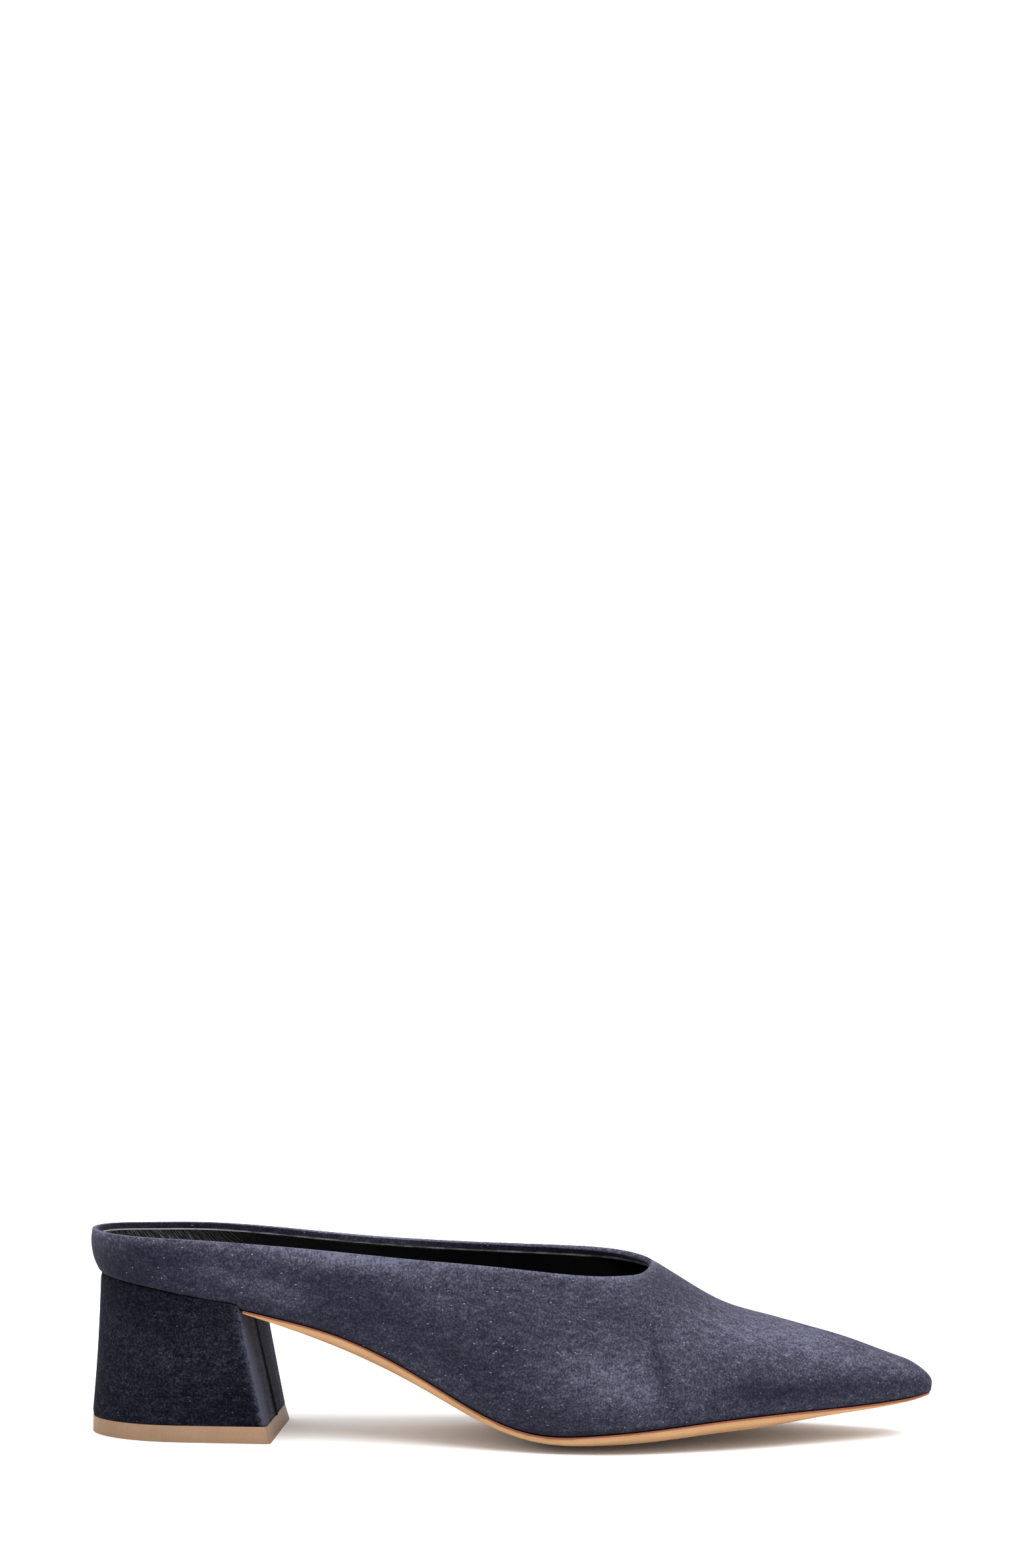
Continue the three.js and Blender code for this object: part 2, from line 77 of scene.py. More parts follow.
SEAT_RADIUS = 27 * MM  # the round back of the seat, round which the lining's wrinkles are laid out
SEAT_MIDDLE = 26 * MM  # its centre, from the heel's back
WRINKLES_END = 60 * MM  # how far from the shoe's back the lining's wrinkles reach
WRINKLES_FADE = 40 * MM  # the length over which they die out before that
LAP_HEIGHT = 1.8 * MM  # how far the heel's cover reaches up over the upper at the breast
LAP_LENGTH = 18 * MM  # how far back from the breast it starts
LAP_SETBACK = 0.15 * MM  # it stops this short of the breast
LAP_CORNER = 1.4 * MM  # radius of its front corner
LAP_THICKNESS = 0.28 * MM
LAP_STEPS = 16
HEEL_NAP_FADE = 4 * MM  # the nap's thickness on the heel dies out over this length before the breast
TOP_PIECE_EDGE = 0.35 * MM  # rounding of the top piece's moulded edges
STAIN_AT_HEEL = 0.78 * MM  # width of the burnished line on the sole's edge, at the heel
STAIN_AT_TOE = 0.85 * MM  # and at the toe

# Levels that tell the edges of a solid apart
COLLAR_LEVEL = 0.7  # the collar's edges lie above this share of the shoe's height
HEEL_RIM_LEVEL = 20 * MM  # the heel's upper edge lies this far above its foot, or more

# The lap's section from below: the piece it lies on, how far up as a share of its height (a negative
# value is millimetres below the seam), and how far out in thicknesses
LAP_SECTION = [
    dict(on="heel", up=-0.9, out=-0.15),
    dict(on="heel", up=-0.4, out=0.35),
    dict(on="upper", up=0.1, out=1.0),
    dict(on="upper", up=0.6, out=1.0),
    dict(on="upper", up=0.9, out=0.85),
    dict(on="upper", up=1.0, out=0.35),
    dict(on="upper", up=0.98, out=-0.2),
]

# The seam down the heel's breast, in section: places across the heel and how far out each lies, in
# millimetres. One edge of the cover laps over the other.
BREAST_SEAM = [
    dict(across=-2.9, out=0.0),
    dict(across=-1.5, out=0.45),
    dict(across=-0.9, out=0.45),
    dict(across=-0.6, out=-0.7),
    dict(across=-0.2, out=0.0),
    dict(across=0.8, out=0.0),
]
SEAM_AT_FOOT = 1.8  # it stands out this many times as far at the heel's foot
SEAM_AT_TOP = 0.9  # and this many times at its top

# Folds that lasting and the parts below leave in the suede. A fold runs from one place to another, each
# given as a share of the shoe's length from the back and of its height from the floor. width and depth
# are in millimetres, and a trough has a negative depth.
FOLDS = [
    # the front edge of the heel's stiffener
    dict(side=LATERAL, along=0.264, up=0.88, to_along=0.268, to_up=0.66, width=2.6, depth=-0.42),
    dict(side=MEDIAL, along=0.262, up=0.85, to_along=0.27, to_up=0.66, width=2.6, depth=-0.39),
    # soft drags from the collar down towards the ball
    dict(side=LATERAL, along=0.347, up=0.8, to_along=0.455, to_up=0.35, width=6.0, depth=-0.51),
    dict(side=LATERAL, along=0.447, up=0.84, to_along=0.462, to_up=0.66, width=3.0, depth=-0.33),
    dict(side=LATERAL, along=0.41, up=0.53, to_along=0.52, to_up=0.2, width=4.0, depth=-0.60),
    dict(side=LATERAL, along=0.575, up=0.8, to_along=0.635, to_up=0.58, width=4.0, depth=-0.39),
    dict(side=MEDIAL, along=0.4, up=0.78, to_along=0.5, to_up=0.4, width=6.0, depth=-0.48),
    dict(side=MEDIAL, along=0.56, up=0.74, to_along=0.62, to_up=0.5, width=4.0, depth=-0.36),
    # where the shoe bends at the ball
    dict(side=LATERAL, along=0.679, up=0.52, to_along=0.697, to_up=0.22, width=2.8, depth=-0.51),
    dict(side=LATERAL, along=0.655, up=0.44, to_along=0.668, to_up=0.22, width=3.0, depth=-0.27),
    dict(side=MEDIAL, along=0.66, up=0.5, to_along=0.675, to_up=0.24, width=3.0, depth=-0.42),
    # the tuck above the sole, from the ball to the toe
    dict(side=LATERAL, along=0.74, up=0.245, to_along=0.94, to_up=0.262, width=3.2, depth=-0.51),
    dict(side=MEDIAL, along=0.74, up=0.245, to_along=0.94, to_up=0.262, width=3.2, depth=-0.45),
]

# Patches where the nap is brushed light or dark; the dark ones marked below are painted shade in the troughs
# of folds and at the back of the collar. Places are given as for the folds, long and tall are how far a patch
# reaches in millimetres and slant turns it nose down, in degrees.
NAP_AND_SHADE_PATCHES = [
    dict(side=LATERAL, along=0.314, up=0.905, long=24, tall=3.4, slant=7, tone=2.2),
    dict(side=LATERAL, along=0.2, up=0.8, long=18, tall=3.0, slant=14, tone=1.2),
    # the next two paint shade at the back of the collar
    dict(side=LATERAL, along=0.09, up=0.9, long=13, tall=3.2, slant=3, tone=-1.5),
    dict(side=LATERAL, along=0.05, up=0.8, long=15, tall=5.0, slant=12, tone=-2.1),
    dict(side=LATERAL, along=0.25, up=0.715, long=10, tall=5.0, slant=10, tone=0.95),
    dict(side=LATERAL, along=0.33, up=0.68, long=19, tall=6.0, slant=14, tone=-0.5),
    dict(side=LATERAL, along=0.39, up=0.81, long=11, tall=6.0, slant=30, tone=0.3),
    # the next two paint shade in the trough of the drag towards the ball
    dict(side=LATERAL, along=0.41, up=0.53, long=18, tall=6.5, slant=34, tone=-0.55),
    dict(side=LATERAL, along=0.495, up=0.32, long=22, tall=4.5, slant=42, tone=-0.4),
    dict(side=LATERAL, along=0.57, up=0.56, long=22, tall=11, slant=20, tone=0.45),
    dict(side=LATERAL, along=0.63, up=0.34, long=20, tall=9.0, slant=10, tone=1.5),
    dict(side=LATERAL, along=0.64, up=0.66, long=22, tall=4.0, slant=24, tone=-0.35),
    # painted shade in the fold where the shoe bends at the ball
    dict(side=LATERAL, along=0.687, up=0.37, long=12, tall=2.4, slant=76, tone=-1.4),
    dict(side=LATERAL, along=0.72, up=0.29, long=15, tall=6.0, slant=0, tone=0.75),
    # the next two paint shade along the tuck above the sole
    dict(side=LATERAL, along=0.85, up=0.275, long=36, tall=3.2, slant=0, tone=-1.0),
    dict(side=LATERAL, along=0.79, up=0.3, long=14, tall=3.5, slant=6, tone=-0.5),
    dict(side=LATERAL, along=0.81, up=0.55, long=30, tall=6.0, slant=14, tone=0.5),
    dict(side=LATERAL, along=0.69, up=0.78, long=16, tall=8.0, slant=35, tone=-0.9),
    dict(side=MEDIAL, along=0.1, up=0.88, long=18, tall=4.0, slant=6, tone=0.4),
    dict(side=MEDIAL, along=0.26, up=0.74, long=22, tall=5.0, slant=14, tone=-0.45),
    dict(side=MEDIAL, along=0.38, up=0.76, long=20, tall=6.0, slant=16, tone=0.5),
    # painted shade in the trough of the medial drag
    dict(side=MEDIAL, along=0.47, up=0.42, long=24, tall=6.0, slant=40, tone=-0.55),
    dict(side=MEDIAL, along=0.6, up=0.55, long=22, tall=9.0, slant=20, tone=0.35),
    # painted shade in the medial fold at the ball
    dict(side=MEDIAL, along=0.67, up=0.36, long=14, tall=3.0, slant=70, tone=-0.4),
    dict(side=MEDIAL, along=0.76, up=0.42, long=22, tall=6.0, slant=12, tone=0.35),
    # painted shade along the tuck above the sole
    dict(side=MEDIAL, along=0.85, up=0.275, long=34, tall=3.2, slant=0, tone=-0.8),
]

# The camera of the photograph: level, 1.1 m from the shoe and 209 mm above the floor
CAMERA_TURN = math.radians(4.4)
CAMERA_DISTANCE = 1.1
CAMERA_HEIGHT = 0.209
CAMERA_AIM = (0.1045, 0.0096)  # the point on the floor's plan that its middle line passes over
CAMERA_LENS = 77.9  # in millimetres, as is the sensor's width
CAMERA_SENSOR = 36

# The light: white all round, and one very large soft source high over the toe, a little to the
# camera's side
SURROUND_STRENGTH = 1.5
LAMP_STRENGTH = 3.8
LAMP_SPREAD = math.radians(60)
LAMP_TOWARDS = (-0.28, 0.3, -1.0)
FLOOR_REACH = 12


# Materials

def colour(code):
    """A linear colour from an sRGB hex value."""
    parts = [(code >> shift & 255) / 255 for shift in (16, 8, 0)]
    return [v / 12.92 if v <= 0.04045 else ((v + 0.055) / 1.055) ** 2.4 for v in parts] + [1.0]


def add(tree, node, inputs, stops=(), **settings):
    """Adds a node of a kind, or takes one that is there. inputs maps each socket to its value, or to the
    node or output that feeds it, and stops are a ramp's positions with sRGB hex colours or grey levels."""
    made = tree.nodes.new(node) if isinstance(node, str) else node
    for name, value in settings.items():
        setattr(made, name, value)
    for socket, value in inputs.items():
        source = value.outputs[0] if isinstance(value, bpy.types.Node) else value
        if isinstance(source, bpy.types.NodeSocket):
            tree.links.new(source, made.inputs[socket])
        else:
            made.inputs[socket].default_value = source
    for i, (position, shade) in enumerate(stops):
        mark = made.color_ramp.elements[i] if i < 2 else made.color_ramp.elements.new(position)
        mark.position = position
        mark.color = colour(shade) if isinstance(shade, int) else [shade, shade, shade, 1.0]
    return made


def new_material(name):
    made = bpy.data.materials.new(name)
    made.use_nodes = True
    return made, made.node_tree, made.node_tree.nodes["Principled BSDF"]


def suede(name, turn, drift_mm, sheen, shades, fleck):
    # Navy goat suede: the flesh side of the skin, buffed to a short nap. Brushed one way it looks light
    # and the other way dark, so its tone drifts in soft patches. It has no gloss, only a soft edge sheen.
    made, tree, shader = new_material(name)
    place = add(tree, "ShaderNodeTexCoord", {}).outputs["Object"]
    brushed = add(tree, "ShaderNodeMapping", {
        "Vector": place, "Rotation": (0, math.radians(turn), 0), "Scale": (0.4, 1, 1)})
    drift = add(tree, "ShaderNodeTexNoise", {
        "Vector": brushed, "Scale": 1 / (drift_mm * MM), "Detail": 3.0, "Roughness": 0.55,
        "Distortion": 0.5})
    # tufts of nap lie together in strokes about 2 mm wide
    tufts = add(tree, "ShaderNodeTexNoise", {
        "Vector": brushed, "Scale": 1 / (1.8 * MM), "Detail": 2.0, "Roughness": 0.6, "Distortion": 0.3})
    # single fibres are 0.05 mm thick, drawn 0.7 mm wide here so that they show
    fibres = add(tree, "ShaderNodeTexNoise", {
        "Vector": place, "Scale": 1 / (0.7 * MM), "Detail": 3.0, "Roughness": 0.85})
    # this attribute holds the nap's brushed tone together with painted highlight and shade
    nap_and_light = add(tree, "ShaderNodeAttribute", {}, attribute_name="nap_and_light").outputs["Fac"]
    tone = add(tree, "ShaderNodeMath", {0: drift, 1: 0.4, 2: -0.87}, operation="MULTIPLY_ADD")
    tone = add(tree, "ShaderNodeMath", {0: tufts, 1: 0.55, 2: tone}, operation="MULTIPLY_ADD")
    tone = add(tree, "ShaderNodeMath", {0: fibres, 1: 1.8, 2: tone}, operation="MULTIPLY_ADD")
    tone = add(tree, "ShaderNodeMath", {0: nap_and_light, 1: 0.15, 2: tone}, operation="MULTIPLY_ADD")
    face = add(tree, "ShaderNodeValToRGB", {"Fac": tone}, stops=shades)
    # loose pale fibre ends, 0.1 mm in the real nap and drawn 0.25 by 0.65 mm, on two cells in three
    cells = add(tree, "ShaderNodeTexVoronoi", {"Vector": brushed, "Scale": 1 / (1.5 * MM)})
    near = add(tree, "ShaderNodeMath", {0: cells.outputs["Distance"], 1: 0.085}, operation="LESS_THAN")
    chance = add(tree, "ShaderNodeSeparateColor", {"Color": cells.outputs["Color"]})
    few = add(tree, "ShaderNodeMath", {0: chance.outputs["Red"], 1: 0.35}, operation="GREATER_THAN")
    pale = add(tree, "ShaderNodeMath", {0: near, 1: few}, operation="MULTIPLY")
    base = add(tree, "ShaderNodeMix", {"Factor": pale, "A": face, "B": colour(fleck)}, data_type="RGBA")
    height = add(tree, "ShaderNodeMath", {0: tufts, 1: 1.6, 2: fibres}, operation="MULTIPLY_ADD")
    bump = add(tree, "ShaderNodeBump", {"Height": height, "Strength": 0.6, "Distance": 0.3 * MM})
    add(tree, shader, {
        "Base Color": base.outputs["Result"], "Normal": bump, "Roughness": 0.95, "Specular IOR Level": 0.03,
        "Sheen Weight": sheen, "Sheen Roughness": 0.5, "Sheen Tint": colour(0xB4B6C4)})
    return made


def kid_leather(name, grain_mm, gloss, wrinkled):
    # Black kid lining leather: drum dyed and lightly finished. It is nearly black with a dull gloss that
    # catches on its pores, and on fine slanted wrinkles where it is pulled round the back of the heel.
    made, tree, shader = new_material(name)
    place = add(tree, "ShaderNodeTexCoord", {}).outputs["Object"]
    cloud = add(tree, "ShaderNodeTexNoise", {"Vector": place, "Scale": 1 / (14 * MM), "Detail": 3.0})
    face = add(tree, "ShaderNodeValToRGB", {"Fac": cloud}, stops=[(0.35, 0x030304), (0.7, 0x070708)])
    # kid's pores lie 0.3 mm apart, drawn twice as coarse or more
    pores = add(tree, "ShaderNodeTexVoronoi", {"Vector": place, "Scale": 1 / (grain_mm * MM)})
    height = add(tree, "ShaderNodeMath", {0: pores.outputs["Distance"], 1: 0.4}, operation="MULTIPLY")
    if wrinkled:
        # the wrinkles lie about 1 mm apart round the heel and lean back. Each is 0.3 mm wide, drawn
        # about twice as wide
        around = add(tree, "ShaderNodeAttribute", {}, attribute_name="around")
        flat = add(tree, "ShaderNodeSeparateXYZ", {"Vector": place})
        leaning = add(tree, "ShaderNodeMath", {0: flat.outputs["Z"], 1: 0.9, 2: around.outputs["Fac"]},
                      operation="MULTIPLY_ADD")
        unrolled = add(tree, "ShaderNodeCombineXYZ", {"X": leaning, "Z": flat.outputs["Z"]})
        squeezed = add(tree, "ShaderNodeMapping", {"Vector": unrolled, "Scale": (1, 1, 0.16)})
        lines = add(tree, "ShaderNodeTexNoise", {
            "Vector": squeezed, "Scale": 1 / (0.75 * MM), "Detail": 2.0, "Roughness": 0.6, "Distortion": 0.4})
        where = add(tree, "ShaderNodeAttribute", {}, attribute_name="wrap")
        folds = add(tree, "ShaderNodeMath", {0: lines, 1: where.outputs["Fac"]}, operation="MULTIPLY")
        height = add(tree, "ShaderNodeMath", {0: folds, 1: 7.0, 2: height}, operation="MULTIPLY_ADD")
        # painted highlight on their crests
        wrinkle_highlight = add(tree, "ShaderNodeValToRGB", {"Fac": folds}, stops=[(0.5, 0.0), (0.72, 0.7)])
        face = add(tree, "ShaderNodeMix", {
            "Factor": wrinkle_highlight, "A": face, "B": colour(0x5E6064)}, data_type="RGBA").outputs["Result"]
    bump = add(tree, "ShaderNodeBump", {"Height": height, "Strength": 0.8, "Distance": 0.12 * MM})
    add(tree, shader, {
        "Base Color": face, "Normal": bump, "Roughness": gloss, "Specular IOR Level": 0.28})
    return made


def trimmed_edge(name):
    # The lining's edge, skived thin with a knife: it shows grey in patches where the dye has not reached its
    # core, and grey along a painted highlight.
    made, tree, shader = new_material(name)
    place = add(tree, "ShaderNodeTexCoord", {}).outputs["Object"]
    cloud = add(tree, "ShaderNodeTexNoise", {"Vector": place, "Scale": 1 / (5 * MM), "Detail": 3.0})
    # the painted highlight is strongest round the back of the heel and fades to dark towards the front
    where = add(tree, "ShaderNodeAttribute", {}, attribute_name="wrap")
    tone = add(tree, "ShaderNodeMath", {0: where.outputs["Fac"], 1: 0.7, 2: cloud}, operation="MULTIPLY_ADD")
    face = add(tree, "ShaderNodeValToRGB", {"Fac": tone}, stops=[(0.45, 0x0B0B0C), (1.0, 0x66686C)])
    add(tree, shader, {"Base Color": face, "Roughness": 0.6, "Specular IOR Level": 0.3})
    return made


def sole_leather(name):
    # Vegetable-tanned sole leather: rolled hard, its cut edge sanded, its top arris stained red-brown and
    # burnished with a hot iron, then waxed. It shows faint layers, small darker pores and a soft gloss.
    made, tree, shader = new_material(name)
    place = add(tree, "ShaderNodeTexCoord", {}).outputs["Object"]
    layered = add(tree, "ShaderNodeMapping", {"Vector": place, "Scale": (0.05, 0.05, 1)})
    # the hide's layers are 0.2 mm apart, drawn 0.6 mm
    layers = add(tree, "ShaderNodeTexNoise", {"Vector": layered, "Scale": 1 / (0.6 * MM), "Detail": 2.0})
    cloud = add(tree, "ShaderNodeTexNoise", {"Vector": place, "Scale": 1 / (16 * MM), "Detail": 3.0})
    # its pores are 0.2 mm apart, drawn 0.5 mm
    pores = add(tree, "ShaderNodeTexNoise", {"Vector": place, "Scale": 1 / (0.5 * MM), "Detail": 1.0})
    tone = add(tree, "ShaderNodeMath", {0: layers, 1: 0.35, 2: -0.1}, operation="MULTIPLY_ADD")
    tone = add(tree, "ShaderNodeMath", {0: cloud, 1: 0.6, 2: tone}, operation="MULTIPLY_ADD")
    tone = add(tree, "ShaderNodeMath", {0: pores, 1: 0.3, 2: tone}, operation="MULTIPLY_ADD")
    face = add(tree, "ShaderNodeValToRGB", {"Fac": tone}, stops=[(0.3, 0x8B6943), (0.72, 0xA5805A)])
    # stain is the distance below the top arris in widths of the burnished line, and here five make 1
    stain = add(tree, "ShaderNodeAttribute", {}, attribute_name="stain")
    below = add(tree, "ShaderNodeMath", {0: stain.outputs["Fac"], 1: 0.2}, operation="MULTIPLY")
    # the wax leaves the edge warmer towards that line, and painted shade makes it browner along its lower
    # arris
    waxed = add(tree, "ShaderNodeValToRGB", {"Fac": below}, stops=[(0.2, 0.3), (0.5, 0.0)])
    warm = add(tree, "ShaderNodeMix", {"Factor": waxed, "A": face, "B": colour(0x8F5E30)}, data_type="RGBA")
    lower_edge_shade = add(tree, "ShaderNodeValToRGB", {"Fac": below}, stops=[(0.4, 0.0), (0.95, 0.0), (0.72, 0.6)])
    lower_edge_shaded = add(tree, "ShaderNodeMix", {
        "Factor": lower_edge_shade, "A": warm.outputs["Result"], "B": colour(0x6B4523)}, data_type="RGBA")
    ragged = add(tree, "ShaderNodeMath", {0: layers, 1: 0.06, 2: below}, operation="MULTIPLY_ADD")
    spread = add(tree, "ShaderNodeValToRGB", {"Fac": ragged}, stops=[(0.14, 1.0), (0.22, 0.0)])
    base = add(tree, "ShaderNodeMix", {
        "Factor": spread, "A": lower_edge_shaded.outputs["Result"], "B": colour(0x6A3216)}, data_type="RGBA")
    height = add(tree, "ShaderNodeMath", {0: layers, 1: 0.7, 2: pores}, operation="MULTIPLY_ADD")
    bump = add(tree, "ShaderNodeBump", {"Height": height, "Strength": 0.3, "Distance": 0.1 * MM})
    add(tree, shader, {
        "Base Color": base.outputs["Result"], "Normal": bump, "Roughness": 0.5, "Specular IOR Level": 0.35})
    return made


def moulded_rubber(name):
    # Moulded rubber top piece, trimmed to the heel on a wheel: an even taupe with very faint upright
    # trimming marks and a satin surface.
    made, tree, shader = new_material(name)
    place = add(tree, "ShaderNodeTexCoord", {}).outputs["Object"]
    upright = add(tree, "ShaderNodeMapping", {"Vector": place, "Scale": (1, 1, 0.1)})
    # the wheel's marks are 0.2 mm apart, drawn 1 mm
    marks = add(tree, "ShaderNodeTexNoise", {"Vector": upright, "Scale": 1 / (1.0 * MM), "Detail": 2.0})
    cloud = add(tree, "ShaderNodeTexNoise", {"Vector": place, "Scale": 1 / (16 * MM), "Detail": 3.0})
    specks = add(tree, "ShaderNodeTexNoise", {"Vector": place, "Scale": 1 / (0.5 * MM), "Detail": 1.0})
    tone = add(tree, "ShaderNodeMath", {0: marks, 1: 0.12, 2: 0.2}, operation="MULTIPLY_ADD")
    tone = add(tree, "ShaderNodeMath", {0: cloud, 1: 0.3, 2: tone}, operation="MULTIPLY_ADD")
    tone = add(tree, "ShaderNodeMath", {0: specks, 1: 0.15, 2: tone}, operation="MULTIPLY_ADD")
    face = add(tree, "ShaderNodeValToRGB", {"Fac": tone}, stops=[(0.35, 0x705844), (0.65, 0x846A54)])
    bump = add(tree, "ShaderNodeBump", {"Height": marks, "Strength": 0.15, "Distance": 0.05 * MM})
    add(tree, shader, {"Base Color": face, "Normal": bump, "Roughness": 0.55, "Specular IOR Level": 0.18})
    return made


navy_suede = suede("brushed_navy_suede", turn=14, drift_mm=26, sheen=0.08, fleck=0x767888, shades=[
    (0.0, 0x10101A), (1.0, 0x565667), (0.3, 0x1A1B25), (0.5, 0x262631), (0.7, 0x363642)])
# the heel's cover has its nap brushed nearly upright: it looks darker, with a stronger grain
heel_suede = suede("brushed_heel_suede", turn=70, drift_mm=18, sheen=0.03, fleck=0x464854, shades=[
    (0.0, 0x020306), (1.0, 0x3C3D49), (0.25, 0x06070D), (0.4, 0x0C0D14), (0.55, 0x171821), (0.75, 0x262731)])
lining_leather = kid_leather("black_kid_lining", grain_mm=0.6, gloss=0.3, wrinkled=True)
sock_leather = kid_leather("black_sock_leather", grain_mm=0.8, gloss=0.5, wrinkled=False)
lining_edge = trimmed_edge("trimmed_lining_edge")
tan_leather = sole_leather("burnished_sole_leather")
taupe_rubber = moulded_rubber("moulded_taupe_rubber")


# Geometry

def merged_copy(node):
    """A node's mesh as a bmesh whose triangles are joined up and paired into quads."""
    bm = bmesh.new()
    bm.from_mesh(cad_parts[node].data)
    bm.edges.layers.float.new("crease_edge")
    bmesh.ops.remove_doubles(bm, verts=bm.verts, dist=0.01 * MM)
    bmesh.ops.join_triangles(bm, faces=bm.faces, angle_face_threshold=math.radians(28),
                             angle_shape_threshold=math.radians(80))
    return bm


def sharp_edges(bm, degrees=45):
    return [e for e in bm.edges if e.is_manifold and e.calc_face_angle(0) > math.radians(degrees)]


def parts_of(items, neighbours):
    """Splits a set into the groups that a function of neighbours joins."""
    left, groups = set(items), []
    while left:
        group, front = [], [left.pop()]
        while front:
            item = front.pop()
            group.append(item)
            near = {other for other in neighbours(item) if other in left}
            left -= near
            front += near
        groups.append(group)
    return groups


def loops_of(edges):
    """Connected loops of edges, the longest first."""
    loops = parts_of(edges, lambda edge: [e for v in edge.verts for e in v.link_edges])
    return sorted(loops, key=lambda loop: -sum(e.calc_length() for e in loop))


def regions_of(bm, borders):
    """Regions of faces that only the given edges part, the largest first."""
    borders = set(borders)
    regions = parts_of(
        bm.faces, lambda face: [f for e in face.edges if e not in borders for f in e.link_faces])
    return sorted(regions, key=lambda faces: -sum(f.calc_area() for f in faces))


def crease(bm, edges, weight):
    layer = bm.edges.layers.float["crease_edge"]
    for edge in edges:
        edge[layer] = weight


def subdivided(bm, levels):
    """The mesh after a Catmull-Clark subdivision, as a new bmesh."""
    mesh = bpy.data.meshes.new("working")
    bm.to_mesh(mesh)
    bm.free()
    holder = bpy.data.objects.new("working", mesh)
    bpy.context.scene.collection.objects.link(holder)
    modifier = holder.modifiers.new("Subdivision", "SUBSURF")
    modifier.levels = modifier.render_levels = levels
    shown = bpy.data.meshes.new_from_object(holder.evaluated_get(bpy.context.evaluated_depsgraph_get()))
    made = bmesh.new()
    made.from_mesh(shown)
    bpy.data.objects.remove(holder)
    bpy.data.meshes.remove(mesh)
    bpy.data.meshes.remove(shown)
    return made


def line_tree(edges):
    """A search tree of points along edges, 0.4 mm apart or less."""
    points = []
    for edge in edges:
        a, b = (v.co for v in edge.verts)
        steps = max(1, math.ceil((b - a).length / (0.4 * MM)))
        points += [a.lerp(b, i / steps) for i in range(steps + 1)]
    made = KDTree(len(points))
    for i, point in enumerate(points):
        made.insert(point, i)
    made.balance()
    return made


def cut_at(bm, value, level):
    """Splits the faces along the line where a function of position passes a level."""
    new = []
    for edge in list(bm.edges):
        a, b = edge.verts
        va, vb = value(a.co) - level, value(b.co) - level
        if va * vb < 0:
            new.append(bmesh.utils.edge_split(edge, a, va / (va - vb))[1])
    bmesh.ops.connect_verts(bm, verts=new)


def paint(bm, name, value):
    """Stores a function of each vertex as an attribute that a material reads."""
    values = [value(vert) for vert in bm.verts]  # first, because a new layer makes the vertices anew
    layer = bm.verts.layers.float.new(name)
    for vert, amount in zip(bm.verts, values):
        vert[layer] = amount


def finished(bm, name, materials, node):
    """Makes the piece an object that rides on the shoe and stands for a CAD node."""
    mesh = bpy.data.meshes.new(name)
    for face in bm.faces:
        face.smooth = True
    bm.to_mesh(mesh)
    bm.free()
    for item in materials:
        mesh.materials.append(item)
    made = bpy.data.objects.new(name, mesh)
    bpy.context.scene.collection.objects.link(made)
    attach(made, "root")
    if node:
        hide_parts(node)


def smooth_step(value):
    t = min(max(value, 0.0), 1.0)
    return t * t * (3 - 2 * t)


shoe_back, shoe_length, shoe_height = cad_box[0][0], cad_box[1][0] - cad_box[0][0], cad_box[1][2]


def place_on_side(along, up):
    """A place seen from the side, in metres, from its shares of the shoe's length and height."""
    return Vector((shoe_back + along * shoe_length, up * shoe_height))


def facing(side, normal):
    """1 where the surface faces that side of the shoe, falling to 0 as it turns past the top."""
    return smooth_step(0.5 + 1.5 * side * normal.y)


def fold_lift(co, normal):
    """How far the folds raise the suede here."""
    lift = 0.0
    here = Vector((co.x, co.z))
    for fold in FOLDS:
        start = place_on_side(fold["along"], fold["up"])
        run = place_on_side(fold["to_along"], fold["to_up"]) - start
        t = (here - start).dot(run) / run.length_squared
        across = (here - start - run * t).length / (fold["width"] * MM)
        ends = smooth_step(3 * (t + 0.15)) * smooth_step(3 * (1.15 - t))
        # a trough with low shoulders, as a fold has in a stretched skin
        shape = (1 - 0.7 * across ** 2) * math.exp(-across ** 2)
        lift += fold["depth"] * MM * ends * shape * facing(fold["side"], normal)
    return lift


def brushed_tone_and_shade(co, normal):
    """How light the nap is brushed here, with painted shade in some folds and at the collar's back, about -2
    to 2.
    """
    tone = 0.0
    for patch in NAP_AND_SHADE_PATCHES:
        away = Vector((co.x, co.z)) - place_on_side(patch["along"], patch["up"])
        turn = math.radians(patch["slant"])
        long = (away.x * math.cos(turn) - away.y * math.sin(turn)) / (patch["long"] * MM)
        tall = (away.x * math.sin(turn) + away.y * math.cos(turn)) / (patch["tall"] * MM)
        tone += patch["tone"] * math.exp(-long ** 2 - tall ** 2) * facing(patch["side"], normal)
    return tone


# Upper: the suede, folded over at the collar

bm = merged_copy("upper")
sharp = sharp_edges(bm)
rims = [loop for loop in loops_of(sharp)
        if min(v.co.z for e in loop for v in e.verts) > COLLAR_LEVEL * shoe_height]
outer_rim, inner_rim = line_tree(rims[0]), line_tree(rims[1])
regions = regions_of(bm, sharp)
for face in regions[0]:
    face.material_index = 1  # marks the outside
inner_skin = bm.copy()

crease(bm, [e for e in sharp if min(f.normal.z for f in e.link_faces) < -0.6], 1.0)
bmesh.ops.bevel(bm, geom=[e for loop in rims[:2] for e in loop], offset=RIM_RADIUS, offset_type="OFFSET",
                segments=3, profile=0.5, affect="EDGES", material=-1, clamp_overlap=True)
bm = subdivided(bm, 2)
bm.normal_update()
outside = {v for v in bm.verts if all(f.material_index == 1 for f in v.link_faces)}
nose_tip = max(v.co.x for v in outside)
moves = {}
for vert in outside:
    fade = smooth_step(outer_rim.find(vert.co)[2] / FOLD_MARGIN)
    uneven = noise.noise(vert.co / UNEVEN_SIZE) * UNEVENNESS
    at_nose = smooth_step((vert.co.x - nose_tip) / NOSE_REACH + 1)
    at_level = math.exp(-((vert.co.z - NOSE_LEVEL * shoe_height) / NOSE_SPREAD) ** 2)
    rounded = at_level * at_nose * NOSE_FULLNESS
    moves[vert] = vert.normal * (fold_lift(vert.co, vert.normal) + uneven + rounded + PILE) * fade


